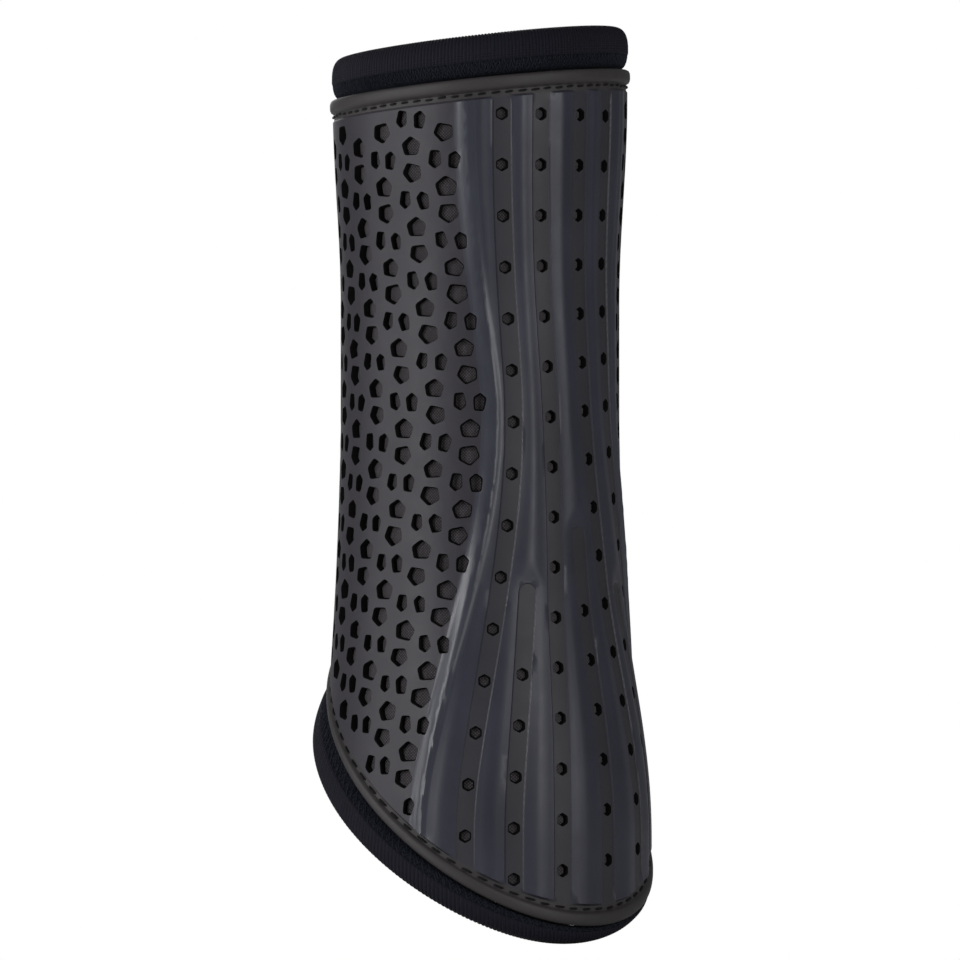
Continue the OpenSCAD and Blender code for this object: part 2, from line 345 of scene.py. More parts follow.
# The mesh cloth is a grey of its own, lightened well past the shell's tone as painted light against the
# shade inside the holes.
MESH = woven("mesh_cloth_with_painted_light", (0.036, 0.033, 0.036), (0.118, 0.109, 0.116), 0.7, 0.1, 0.9, 0.0)
FOAM, foam_tree, foam_shader = finish("foam", (0.02, 0.021, 0.024), 0.95)
bump(foam_tree, foam_shader, noise(foam_tree, flat_coords(foam_tree), 1.2, 3), 0.15, 0.8)
LINING = woven("lining_cloth", (0.014, 0.014, 0.018), (0.045, 0.045, 0.055), 0.9, 0.14, 0.8, 0.1)
BINDING = woven("binding_elastic", (0.0035, 0.0035, 0.0065), (0.014, 0.0145, 0.027), 0.45, 0.05,
                0.7, 0.02, 90)
FACING = woven("facing_knit", (0.003, 0.004, 0.008), (0.01, 0.013, 0.022), 0.8, 0.16, 0.85, 0.02)
YARN = woven("facing_yarn", (0.008, 0.01, 0.016), (0.024, 0.029, 0.043), 0.4, 0.05, 0.7, 0.02)
THREAD = woven("seam_thread", (0.004, 0.004, 0.005), (0.02, 0.02, 0.022), 0.5, 0.08, 0.45, 0.0)
WEBBING = woven("strap_webbing", (0.008, 0.008, 0.01), (0.022, 0.022, 0.026), 0.8, 0.12)
LOOPS = woven("loop_pile", (0.006, 0.006, 0.007), (0.03, 0.03, 0.033), 0.55, 0.3, 1.0, 0.5, 20)
HOOKS = woven("hook_tape", (0.006, 0.006, 0.007), (0.014, 0.014, 0.015), 1.0, 0.15, 0.6, 0.0, 0)
TAPE = woven("edge_tape", (0.007, 0.007, 0.01), (0.018, 0.019, 0.026), 0.6, 0.1, 0.8, 0.2, 90)
TAB = rubber("pull_tab", (0.022, 0.021, 0.024), (0.03, 0.029, 0.032), 0.45)


# ---------------------------------------------------------------- the moulded shell
LANDS = (-0.77, -0.28, 0.28, 0.77)            # run the panel's whole height
SHORT_LANDS = ((-0.53, 110), (0.0, 128), (0.53, 110))   # with the height each starts at
LAND_HALF = 2.75
LIP = 0.45
VENT_R = 2.3
FIRST_VENT = 10       # below the start of a short land
VENT_DRAFT, SIDE_DRAFT = 0.6, 0.5     # how far a hole's wall leans in on its way down
CHAMFER = 0.3                         # share of that within the first third of a millimetre
ROW_TOP, ROW_PITCH, ROWS = 262.4, 16.2, 16
COLUMN_FIRST, COLUMN_PITCH = 7.8, 11.3
COLUMNS = {-1: 21, 1: 15}             # on each side of the panel
PERIOD = 25.7                         # height in which a column's four holes repeat
FIRST_PERIOD, PERIODS = 265, range(-1, 11)
HOLES = ((0, 0, 7.1, 6.4, True), (0, 8.6, 7.1, 6.4, False),     # across, down, width,
         (-3.2, 17.2, 4.4, 6.4, False), (3.2, 17.2, 4.4, 6.4, True))     # height, point up
EDGE_LINES = (0.25, 0.8, 1.5, 2.6, 3.4, 3.95, 4.2, 4.7, 5.9, 6.4, 7.1)  # bead and groove
RIDGE_LINES = (-2.6, -1.5, -0.7, 0, 0.5, 1.4, 2.8, 4.3)        # across the ridge
RIDGE_IN, RIDGE_OUT = RIDGE_LINES[0], RIDGE_LINES[-1]
SHELL_FINISHES = [SIDE, FLUTE, LAND, BEAD, HOLE_WALL_PAINTED_SHADE, RIDGE_PAINTED_HIGHLIGHT]


def ridge_half(z):
    """The ridges stand further out than the panel's own lines at the top."""
    return panel_half(z) * (1 + 0.18 * ease((z - 150) / 110))


def ridge_turn(z, side):
    return panel_mid(z) + side * ridge_half(z)


def past_ridge(turn, z):
    """Millimetres outside the nearer ridge; negative on the panel."""
    return (np.abs(turn - panel_mid(z)) - ridge_half(z)) * arc(turn, z)


def land_turn(u, z):
    return panel_mid(z) + u * panel_half(z)


def land_distance(turn, z):
    """Millimetres outside the nearest land's edge; negative on a land."""
    best = np.full(np.shape(turn), 99.0)
    for u in LANDS:
        best = np.minimum(best, np.abs(turn - land_turn(u, z)) * arc(turn, z))
    for u, start in SHORT_LANDS:
        across = np.abs(turn - land_turn(u, z)) * arc(turn, z)
        best = np.minimum(best, np.hypot(across, np.maximum(z - start, 0)))
    return best - LAND_HALF


def relief(turn, z):
    """How far the moulding stands out from the plain face."""
    outside = past_ridge(turn, z)
    strong = mix(0.55, 1.0, ease((170 - z) / 80))
    off = land_distance(turn, z)
    flute = -0.4 + 0.42 * ease(off / LIP) + 0.75 * ease((off - LIP) / 5.5)
    panel = mix(flute, 0.15, ease((outside + 3.0) / 1.2))
    crest = 1.25 * strong * np.where(outside < 0, ease((outside + 2.6) / 2.3),
                                     1 - ease((outside - 0.5) / 3.8))
    shape = np.where(outside < 0, panel, 0) + crest
    e = edge_distance(turn, z)
    into = ease((e - BEAD_W - SEAM_W) / 0.7)
    bead_u = np.clip((e - BEAD_W / 2) / (BEAD_W / 2), -1, 1)
    bead = BEAD_OUT * np.clip(1 - np.abs(bead_u) ** 3, 0, 1) ** 0.6
    groove = -SEAM_D * ease((e - BEAD_W) / 0.5) * (1 - into)
    return shape * into + bead * (e < BEAD_W) + groove


def rounded(corners, cut=0.2):
    """The polygon with each corner replaced by two points and its middle."""
    out = []
    for i, (x, y) in enumerate(corners):
        px, py = corners[i - 1]
        nx, ny = corners[(i + 1) % len(corners)]
        a = (mix(x, px, cut), mix(y, py, cut))
        b = (mix(x, nx, cut), mix(y, ny, cut))
        middle = ((a[0] + b[0] + 2 * x) / 4, (a[1] + b[1] + 2 * y) / 4)
        out += [a, middle, b]
    return out


def pentagon(width, height, up):
    flip = 1 if up else -1
    apex = 0.54 if width > 5 else 0.46
    shoulder = 0.14 if width > 5 else 0.2
    shape = [(0, apex), (-0.5, shoulder), (-0.36, -0.46), (0.36, -0.46), (0.5, shoulder)]
    turn = math.radians(rng.uniform(-13, 13))
    grow = rng.uniform(0.94, 1.05)
    spot = []
    for x, y in shape:
        x, y = x * width * grow, y * height * flip * grow
        spot.append((x * math.cos(turn) - y * math.sin(turn),
                     x * math.sin(turn) + y * math.cos(turn)))
    return spot


def hole_loops():
    """Every opening through the shell, as (turn, height, outline in millimetres)."""
    found = []
    hexagon = [(VENT_R * math.cos(math.radians(60 * k + 30)),
                VENT_R * math.sin(math.radians(60 * k + 30))) for k in range(6)]
    for row in range(ROWS):
        level = ROW_TOP - ROW_PITCH * row
        slope = 10.5 * ease((ROW_TOP - level) / 250)
        for u in LANDS + tuple(s[0] for s in SHORT_LANDS):
            z = level + slope * (u + 0.5)
            if z < dict(SHORT_LANDS).get(u, 999) - FIRST_VENT:
                found.append((land_turn(u, z), z, hexagon))
    for side in (-1, 1):
        for column in range(COLUMNS[side]):
            for step in PERIODS:
                top = FIRST_PERIOD - PERIOD * (step + 0.5 * (column % 2))
                for across, down, width, height, up in HOLES:
                    z = top - down
                    turn = ridge_turn(z, side)
                    out = side * (COLUMN_FIRST + COLUMN_PITCH * column) + across
                    turn = turn + out / arc(turn, z)
                    found.append((turn, z, pentagon(width, height, up)))
    margin = BEAD_W + SEAM_W + 0.75
    kept = []
    for turn, z, shape in found:
        reach = max(abs(p[1]) for p in shape)
        from_end = min(turn - START_TURN, END_TURN - turn)
        if edge_distance(turn, z) < margin + reach or from_end < TAPE_TURN + 1.5:
            continue
        kept.append((float(turn), float(z), rounded(shape)))
    return kept


def polyline(points, flat, edges, closed=False):
    start = len(flat)
    flat += [Vector((float(x) * SHEET_SCALE, float(y))) for x, y in points]
    n = len(points)
    edges += [(start + i, start + (i + 1) % n) for i in range(n if closed else n - 1)]
    return list(range(start, start + n))


def shell_net():
    """A flat net of the shell: points as (turn, height), triangles, and each hole's centre."""
    flat, edges, loops = [], [], []
    around = np.linspace(START_TURN, END_TURN, 237)
    low = [(t, bottom_edge(t)) for t in around]
    high = [(t, top_edge(t)) for t in around[::-1]]
    outline = polyline(low + high, flat, edges, closed=True)
    for e in EDGE_LINES:
        inset = e / 2 if e < 2 else 1
        ends = np.clip(around, START_TURN + inset, END_TURN - inset)
        polyline([(t, bottom_edge(t) + e) for t in ends], flat, edges)
        polyline([(t, top_edge(t) - e) for t in ends], flat, edges)
    holes = hole_loops()
    finder = kdtree.KDTree(len(holes))
    for k, (turn, z, shape) in enumerate(holes):
        twist = sum(x0 * y1 - x1 * y0 for (x0, y0), (x1, y1) in zip(shape, shape[1:] + shape[:1]))
        shape = shape if twist > 0 else shape[::-1]
        loops.append(polyline([(turn + x / arc(turn, z), z + y) for x, y in shape],
                              flat, edges, closed=True))
        finder.insert((turn * SHEET_SCALE, z, 0), k)
    finder.balance()
    clear = BEAD_W + SEAM_W + 1.1

    def guide(offset_turn, start=999.0):
        heights = np.arange(4, 279, 2.5)
        line = []
        for z in heights:
            turn = float(offset_turn(z))
            if z <= start and edge_distance(turn, z) > clear:
                line.append((turn, z))
        return line

    for off in (LAND_HALF, LAND_HALF + LIP):
        for u in LANDS:
            for side in (-1, 1):
                polyline(guide(lambda z: land_turn(u, z) + side * off / arc(0, z)), flat, edges)
        for u, start in SHORT_LANDS:
            left = guide(lambda z: land_turn(u, z) - off / arc(0, z), start - 1)
            right = guide(lambda z: land_turn(u, z) + off / arc(0, z), start - 1)
            cap = [(land_turn(u, start) + off * math.cos(a) / arc(0, start),
                    start + off * math.sin(a)) for a in np.radians(np.arange(168, 11, -12))]
            polyline(left + cap + right[::-1], flat, edges)
    for off in RIDGE_LINES:
        for side in (-1, 1):
            polyline(guide(lambda z: ridge_turn(z, side) + side * off / arc(0, z)), flat, edges)
    for z in np.arange(4, 279, 2.5):
        for u in np.arange(-1.15, 1.16, 0.038):
            turn = land_turn(u, z)
            if past_ridge(turn, z) > -3:
                continue
            if edge_distance(turn, z) > clear and abs(land_distance(turn, z)) > 0.3:
                spot = finder.find((turn * SHEET_SCALE, z, 0))
                if spot[2] > VENT_R + 0.4:
                    flat.append(Vector((turn * SHEET_SCALE, z)))
    for row, z in enumerate(np.arange(6, 278, 3.0)):
        for turn in np.arange(START_TURN + 1.2, END_TURN - 1, 2.4):
            turn = turn + (row % 2) * 1.2
            if edge_distance(turn, z) < clear or past_ridge(turn, z) < 5:
                continue
            spot = finder.find((turn * SHEET_SCALE, z, 0))
            if spot[2] > 3.6:
                flat.append(Vector((turn * SHEET_SCALE, z)))
    out, _, tris, _, _, inside = delaunay_2d_cdt(flat, edges, [outline] + loops, 0, 1e-4, True)
    tris = [t for t, faces in zip(tris, inside) if list(faces) == [0]]
    net = np.array([(p.x / SHEET_SCALE, p.y) for p in out])
    return net, tris, holes, finder


def shell_part():
    """The net wrapped round the boot, with a plain back and the walls of its holes."""
    net, tris, holes, finder = shell_net()
    used = sorted({v for t in tris for v in t})
    place = {v: k for k, v in enumerate(used)}
    tris = [tuple(place[v] for v in t) for t in tris]
    net = net[used]
    turn, z = net[:, 0], net[:, 1]
    count = {}
    for t in tris:
        for a, b in zip(t, t[1:] + t[:1]):
            count[(a, b)] = count.get((a, b), 0) + 1
    rim = [(a, b) for a, b in count if (b, a) not in count]
    rim_points = sorted({v for e in rim for v in e})
    # each rim point steps in towards its hole's middle, for the mould's small chamfer
    step = net.copy()
    in_hole = set()
    for v in rim_points:
        if edge_distance(turn[v], z[v]) < BEAD_W:
            continue
        if min(turn[v] - START_TURN, END_TURN - turn[v]) < 0.01:
            continue
        _, k, _ = finder.find((turn[v] * SHEET_SCALE, z[v], 0))
        to = np.array([holes[k][0] - turn[v], holes[k][1] - z[v]])
        size = math.hypot(to[0] * arc(turn[v], z[v]), to[1])
        step[v] += to * (VENT_DRAFT if len(holes[k][2]) > 15 else SIDE_DRAFT) / size
        in_hole.add(v)
    out = relief(turn, z)
    part = Part()
    flat = np.stack([turn * SHEET_SCALE, z], -1)
    centre = np.mean([net[[t[i] for t in tris]] for i in range(3)], 0)
    ct, cz = centre[:, 0], centre[:, 1]
    side, flute, land, bead, wall, ridge = range(len(SHELL_FINISHES))
    kind = np.full(len(tris), side)
    side_off = past_ridge(ct, cz)
    kind[side_off < RIDGE_OUT] = flute
    # the ridge band takes the lighter finish, a painted highlight
    kind[(side_off > RIDGE_IN) & (side_off < RIDGE_OUT)] = ridge
    kind[(side_off < RIDGE_IN - 0.2) & (land_distance(ct, cz) < 0.2)] = land
    kind[edge_distance(ct, cz) < BEAD_W + SEAM_W + 0.4] = bead
    part.add(at(turn, -out, z), flat, tris, [int(k) for k in kind])
    n = len(net)
    lip = mix(net, step, CHAMFER)
    middle = at(lip[:, 0], -out + 0.32, lip[:, 1])
    part.add(middle[rim_points], flat[rim_points], [])
    chamfer = {v: n + k for k, v in enumerate(rim_points)}
    back = at(step[:, 0], SHELL_T, step[:, 1])
    base = part.add(back, flat, [])
    part.faces += [tuple(base + v for v in t[::-1]) for t in tris]
    part.finish += [side] * len(tris)
    for a, b in rim:
        if a in in_hole and b in in_hole:
            # the chamfer and the wall under it take the near-black finish: painted shade
            part.faces.append((b, a, chamfer[a], chamfer[b]))
            part.faces.append((chamfer[b], chamfer[a], base + a, base + b))
            part.finish += [wall, wall]
        else:
            part.faces.append((b, a, base + a, base + b))
            part.finish += [bead]
    return part


# ---------------------------------------------------------------- layers and collars
def layer_part(outer, inner, channel=0.0):
    """A layer between two depths, with rounded ends, as a closed piece."""
    part = Part()
    turns = np.linspace(START_TURN, END_TURN, 119)
    levels = np.concatenate([[0, 0.25, 0.8], np.linspace(3, 97, 32), [99.2, 99.75, 100]]) / 100
    thick = inner - outer
    rings = []
    for t in turns:
        lo, hi = bottom_edge(t), top_edge(t)
        z = mix(lo, hi, levels)
        from_end = np.minimum(levels, 1 - levels) * (hi - lo)
        pinch = 0.1 * thick * (1 - ease(from_end / (thick * 0.6)))
        sewn = channel * np.exp(-((t % 24 - 12) / 0.9) ** 2) * ease((from_end - 4) / 3)
        front = at(t, outer + pinch, z)
        back = at(t, inner - pinch - sewn, z)
        rings.append(np.vstack([front, back[::-1]]))
    rings = np.array(rings)
    along = np.repeat(turns[:, None] * SHEET_SCALE, rings.shape[1], 1)
    flat = np.stack([along, rings[:, :, 2] / MM], -1)
    tube(part, rings, flat)
    return part


def low_collar_h(turn):
    return 3.8 + 14.2 * ((1 - cosd(turn - 25)) / 2) ** 0.7


SEAT = 0.03           # between the wall's end and its collar
LOW_LEAN = 7.2        # how far the low collar's free end leans out at its widest
LEAST_LEAN = -1.2
TOP_ROLL_H = 12.8
ROLL_HALF = 3.7       # half the foam's width
ROLL_IN = 0.8         # from the shell's face in to the foam
ROLL_ROUND = 0.75     # 1 is an ellipse, and less is squarer


def roll_height(turn, top):
    return TOP_ROLL_H + 0 * turn if top else low_collar_h(turn) - 1.2


def end_lean(turn):
    return mix(LEAST_LEAN, LOW_LEAN, (1 - cosd(turn - 25)) / 2)


def roll(turn, angle, top, grow):
    """A point on a collar. angle 0 faces out and 90 is the free end. grow stands off the foam."""
    turn, angle, grow = np.broadcast_arrays(turn, angle, grow)
    tall = roll_height(turn, top)
    edge = top_edge(turn) + SEAT if top else bottom_edge(turn) - SEAT
    sense = 1 if top else -1
    c, s = cosd(angle), np.sin(np.radians(angle))
    wide = ROLL_HALF + grow
    high = tall / 2 + np.where(s > 0, grow, 0)
    u = np.sign(c) * np.abs(c) ** ROLL_ROUND * wide
    v = np.sign(s) * np.abs(s) ** ROLL_ROUND * high
    lean = 0 if top else end_lean(turn) * (1 + v / high) / 2
    z = edge + sense * (tall / 2 + v)
    r = face_r(turn, edge) - ROLL_IN - ROLL_HALF + u + lean
    a = np.radians(turn)
    return np.stack([r * np.sin(a), -r * np.cos(a), z], -1) * MM


def roll_band(turns, angles, top, outer, inner, flat_y):
    """A closed band on the roll between two offsets. outer is an array over (turn, angle)."""
    part = Part()
    rings = np.concatenate([roll(turns[:, None], angles[None], top, outer),
                            roll(turns[:, None], angles[None, ::-1], top,
                                 inner + 0 * outer[:, ::-1])], 1)
    if not top:
        rings = rings[:, ::-1]
    x = np.repeat(turns[:, None] * SHEET_SCALE, rings.shape[1], 1)
    y = np.repeat(np.concatenate([flat_y, flat_y[::-1]])[None], len(turns), 0)
    tube(part, rings, np.stack([x, y], -1))
    return part


RIB_PITCH, RIB_OUT = 1.15, 0.28
COLLAR_SCALE = 0.84   # millimetres per degree along a collar's face


def binding_part(top):
    """Ribbed elastic folded over the collar's free end, with one rib every RIB_PITCH."""
    ribs = round((END_TURN - START_TURN) * COLLAR_SCALE / RIB_PITCH)
    turns = np.linspace(START_TURN, END_TURN, ribs * 4 + 1)
    angles = np.concatenate([[-9, -7], np.linspace(-3, 183, 21), [187, 189]])
    rib = RIB_OUT * np.abs(np.sin(np.linspace(0, ribs * math.pi, ribs * 4 + 1))) ** 0.7
    hem = np.clip(np.minimum(angles + 9, 189 - angles) / 3, 0, 1) ** 0.5
    outer = 0.35 + (0.45 + rib[:, None]) * hem[None]
    return roll_band(turns, angles, top, outer, 0.1, angles * 0.12)


def facing_part(top):
    """Two knitted strips, on the collar's outer and inner side, below the binding."""
    turns = np.linspace(START_TURN, END_TURN, 237)
    part = Part()
    for start, end in ((-84, 2), (178, 264)):
        angles = np.linspace(start, end, 11)
        lump = 0.08 * np.array([[rng.uniform(-1, 1) for _ in angles] for _ in turns])
        one = roll_band(turns, angles, top, 0.42 + lump, 0.1, angles * 0.12)
        part.add(one.points, one.flat, one.faces)
    return part


def yarn(part, path, radius, sides):
    """A thread along a path of points in metres, with its ends drawn in."""
    path = np.asarray(path, float)
    ahead = np.gradient(path, axis=0)
    ahead /= np.linalg.norm(ahead, axis=1)[:, None]
    out = path * [1, 1, 0]
    out /= np.linalg.norm(out, axis=1)[:, None]
    side = np.cross(ahead, out)
    out = np.cross(side, ahead)
    shrink = np.ones(len(path))
    shrink[[0, -1]] = 0.55
    a = np.linspace(0, 2 * math.pi, sides, endpoint=False)
    rings = (path[:, None] + (out[:, None] * np.cos(a)[None, :, None]
             + side[:, None] * np.sin(a)[None, :, None]) * (radius * MM * shrink)[:, None, None])
    flat = np.stack(np.broadcast_arrays(np.arange(len(path))[:, None] * 0.8,
                                        np.arange(sides)[None] * 0.5), -1)
    tube(part, rings, flat)


def facing_yarn_part(top):
    """The facing's raised zigzag stitches."""
    part = Part()
    turn = START_TURN + 1.5
    while turn < END_TURN - 2.5:
        width = rng.uniform(1.5, 2.4)
        for low, high in ((-56, -36), (-40, -18), (-24, -6)):
            a = low + rng.uniform(-4, 4)
            b = high + rng.uniform(-4, 4)
            start = turn + rng.uniform(-0.6, 0.6)
            turns = start + width * np.array([0, 0.25, 0.5, 0.75, 1.0])
            angles = np.array([a, mix(a, b, 0.6), b, mix(a, b, 0.5), a])
            yarn(part, roll(turns, angles, top, 0.5 + 0.1 * np.array([0, 1, 1, 1, 0])), 0.27, 4)
        turn += width * 1.18
    return part


def seam_part(top):
    """Lockstitches lying in the groove beside the bead."""
    part = Part()
    pitch, length = 4.3, 3.1
    turn = START_TURN + 3
    while turn < END_TURN - 4:
        long = length + rng.uniform(-0.3, 0.2)
        e = BEAD_W + SEAM_W / 2 + rng.uniform(-0.15, 0.15)
        steps = turn + np.linspace(0, 1, 7) * long / SHEET_SCALE
        edge = top_edge(steps) - e if top else bottom_edge(steps) + e
        depth = SEAM_D - 0.32 + 0.75 * np.abs(np.linspace(-1, 1, 7)) ** 4
        yarn(part, at(steps, depth, edge + np.linspace(-0.1, 0.1, 7)), 0.38, 6)
        turn += pitch / SHEET_SCALE
    return part


# ---------------------------------------------------------------- closing side
STRAP_NAMES = ("lower", "middle", "upper")
STRAP_END, TAB_LEN, STRAP_TURN = CLOSING + 46, 20, CLOSING - 38
LOOP_TURN = CLOSING + TAPE_TURN + 2
STRAP_HALF = 17
WEB_OUT, WEB_IN, PATCH_IN = -4.65, -2.85, -0.2      # depths; outside the shell is negative
STRAP_RIBS = {"ribs": 11, "rib": 0.14, "step": 1.0}
SEWN_HALF, SEWN_DEPTH = 14.5, -4.85                 # the stitched boxes on a strap
TAPE_LOW, TAPE_HIGH = bottom_edge(180) + 7, top_edge(180) - 8


def strap_z(i):
    low, high = bottom_edge(180) + 33.2, top_edge(180) - 34.17
    return mix(low, high, i / 2)


def patch_part(a, b, outer, inner, lo, hi, rows=9, step=2.0, bulge=0.0, rib=0.0, ribs=0,
               corner=0.0):
    """A closed strip bent round the boot between two turns, heights and depths."""
    part = Part()
    n = max(int((b - a) / step), 3) + 1
    turns = np.linspace(a, b, n)
    if ribs:
        rows = ribs * 4 + 1
    across = np.linspace(0, 1, rows)
    rings = []
    for t in turns:
        from_end = min(t - a, b - t) * 0.85
        draw = corner - math.sqrt(max(corner ** 2 - max(corner - from_end, 0) ** 2, 0)) \
            if corner else 0
        z = mix(lo + draw, hi - draw, across)
        side = np.clip(np.minimum(across, 1 - across) * (hi - lo) / 0.8, 0, 1) ** 0.5
        crown = bulge * np.sin(across * math.pi) ** 0.5 * math.sin(
            math.pi * (t - a) / (b - a)) ** 0.5 if bulge else 0
        line = rib * np.abs(np.sin(across * math.pi * max(ribs, 1))) ** 0.7
        front = at(t, outer - crown - line + (1 - side) * 0.25 * (inner - outer), z)
        back = at(t, inner + 0 * z, z)
        rings.append(np.vstack([front, back[::-1]]))
    rings = np.array(rings)
    x = np.repeat(turns[:, None] * SHEET_SCALE, rings.shape[1], 1)
    tube(part, rings, np.stack([x, rings[:, :, 2] / MM], -1))
    return part


def edge_tape_part(sign):
    """Tape folded round one closing edge."""
    part = Part()
    lo, hi = TAPE_LOW, TAPE_HIGH
    near, far = 0.5, 0.5 + TAPE_TURN
    section = [(far, -0.1), (far, -0.75), (far - 0.5, -0.9), (near + 4, -0.9),
               (near + 1, -0.85), (near + 0.2, -0.3), (near, 0.6), (near, 5), (near, 8.6),
               (near + 0.6, 9.5), (near + 4, 9.67), (far - 0.5, 9.67), (far, 9.5),
               (far, 8.87), (near + 2, 8.87), (near + 2, -0.1)]
    levels = np.concatenate([[lo, lo + 0.4], np.linspace(lo + 3, hi - 3, 46), [hi - 0.4, hi]])
    rings = []
    for i, z in enumerate(levels):
        pinch = 0.12 if i in (0, len(levels) - 1) else 0
        rings.append([at(CLOSING - sign * t, d + pinch * (1 if d < 0 else 0), z)
                      for t, d in section])
    rings = np.array(rings)
    if sign < 0:
        rings = rings[:, ::-1]
    reach = np.arange(len(section)) * 1.7
    flat = np.stack(np.broadcast_arrays(levels[:, None], reach[None]), -1)
    tube(part, rings, flat)
    return part


def stitch_row(part, spots, depth, radius):
    """Stitches along a line of (turn, height) points."""
    for (t0, z0), (t1, z1) in zip(spots[::2], spots[1::2]):
        k = np.linspace(0, 1, 5)
        lift = 0.4 * np.abs(np.linspace(-1, 1, 5)) ** 4
        yarn(part, at(mix(t0, t1, k), depth + lift, mix(z0, z1, k)), radius, 5)


def line_spots(t0, z0, t1, z1, stitch=2.6, share=0.68):
    """End points of the stitches that fill a straight line."""
    length = math.hypot((t1 - t0) * SHEET_SCALE, z1 - z0)
    n = max(int(length / stitch), 1)
    spots = []
    for i in range(n):
        for k in (i / n, (i + share) / n):
            spots.append((mix(t0, t1, k), mix(z0, z1, k)))
    return spots


def box_spots(t0, t1, lo, hi):
    """A stitched box with its two diagonals."""
    return (line_spots(t0, lo, t1, lo) + line_spots(t1, lo, t1, hi)
            + line_spots(t1, hi, t0, hi) + line_spots(t0, hi, t0, lo)
            + line_spots(t0, lo, t1, hi) + line_spots(t0, hi, t1, lo))


def hook_part(i):
    """Hook tape under the strap's end, with its field of hooks facing the loop tape."""
    z = strap_z(i)
    part = patch_part(LOOP_TURN + 1, STRAP_END - 4, -2.62, -2.0, z - 16, z + 16, corner=2)
    a = LOOP_TURN + 2
    row = 0
    while a < STRAP_END - 4.8:
        for height in np.arange(z - 14.8 + 0.6 * (row % 2), z + 15, 1.35):
            stem = at([a, a, a + 0.45, a + 0.8], [-2.0, -1.85, -1.78, -1.9], height)
            yarn(part, stem, 0.13, 3)
        a += 1.7
        row += 1
    return part


def tab_part(i):
    """Moulded pull tab with three grip bars."""
    part = Part()
    z = strap_z(i)
    start = STRAP_END - TAB_LEN + 0.3
    face, thick = -2.8, -5.2
    wide, scale, round_r = 2 * STRAP_HALF, 0.87, 5      # scale: millimetres per degree here
    turns = np.unique(np.concatenate([np.linspace(start, STRAP_END, 60),
                                      [start + 0.15, STRAP_END - 0.15]]))
    rings = []
    across = np.linspace(0, 1, 15)
    for t in turns:
        bars = sum(np.exp(-((t - (start + 6 + 5 * k)) / 1.15) ** 4) for k in range(3))
        from_end = min(t - start, STRAP_END - t) * scale
        lip = 0.5 * (1 - min(from_end / 0.8, 1) ** 0.5)
        corner = max(round_r - (STRAP_END - t) * scale, 0)
        draw = round_r - math.sqrt(max(round_r ** 2 - corner ** 2, 0))
        zs = mix(z - STRAP_HALF + draw, z + STRAP_HALF - draw, across)
        side = np.clip(np.minimum(across, 1 - across) * wide / 1.2, 0, 1) ** 0.5
        inset = ease(np.minimum(across, 1 - across) * wide / 3 - 0.9)
        front = at(t, thick + lip + (1 - side) * 0.7 - 0.85 * bars * inset, zs)
        rings.append(np.vstack([front, at(t, face, zs)[::-1]]))
    rings = np.array(rings)
    x = np.repeat(turns[:, None] * SHEET_SCALE, rings.shape[1], 1)
    tube(part, rings, np.stack([x, rings[:, :, 2] / MM], -1))
    return part


# ---------------------------------------------------------------- build
HALVES = ((START_TURN, SPLIT_TURN), (SPLIT_TURN, END_TURN))     # on the boot, on the wing
ROLL_W = 8.4          # across a collar's foam and its cover
CORNERS = 0.84        # the way round a rounded roll, as a share of a square one's


def wrap_cuts(depth):
    """Each half's flat width, length and area, in strips from the plan at this depth."""
    cuts = []
    for start, end in HALVES:
        turns = np.linspace(start, end, 61)
        mid = (turns[1:] + turns[:-1]) / 2
        tall = top_edge(mid) - bottom_edge(mid)
        levels = bottom_edge(mid) + tall * np.linspace(0.1, 0.9, 5)[:, None]
        run = (face_r(mid, levels).mean(0) - depth) * np.radians(np.diff(turns))
        cuts.append((tall.max(), run.sum(), (tall * run).sum()))
    return cuts


def tape_cuts(top, over, bare):
    """The same for a tape round half a collar, over its widest part and with some left bare."""
    cuts = []
    for start, end in HALVES:
        turns = np.linspace(start, end, 61)
        mid = (turns[1:] + turns[:-1]) / 2
        edge, sense = (top_edge, 1) if top else (bottom_edge, -1)
        lean = 0 if top else end_lean(mid)
        level = (face_r(mid, edge(mid)) - (ROLL_IN + ROLL_HALF) + lean / 2) * np.radians(np.diff(turns))
        run = np.hypot(level, np.diff(edge(turns) + sense * roll_height(turns, top) / 2))
        upright = np.hypot(roll_height(mid, top), lean) * level / run
        across = CORNERS * (ROLL_W + upright) + over * upright - bare * ROLL_W
        cuts.append((across.max(), run.sum(), (across * run).sum()))
    return cuts


def cloth(objs, cuts, held, rests_on):
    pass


shell = make_pair("rubber_shell", shell_part(), SHELL_FINISHES, 32, False)
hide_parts("strike_shell")
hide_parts("wing_shell")
# the mesh cloth behind the shell; its finish is lightened with painted light
mesh_cloth_with_painted_light = make_pair("mesh_cloth_with_painted_light", layer_part(2.3, 3.3), [MESH])
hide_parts("shell_mesh")
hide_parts("wing_mesh")
pad = make_pair("shock_pad", layer_part(3.4, 7.4), [FOAM])
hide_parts("foam_pad")
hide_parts("wing_foam")
lining = make_pair("skin_lining", layer_part(7.5, 8.5, 0.25), [LINING])
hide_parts("inner_lining")
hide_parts("wing_lining")
cloth(mesh_cloth_with_painted_light, wrap_cuts(2.8), "stretched", ["shock_pad_on_boot", "shock_pad_on_wing"])
cloth(lining, wrap_cuts(8.0), "stretched", ["shock_pad_on_boot", "shock_pad_on_wing"])

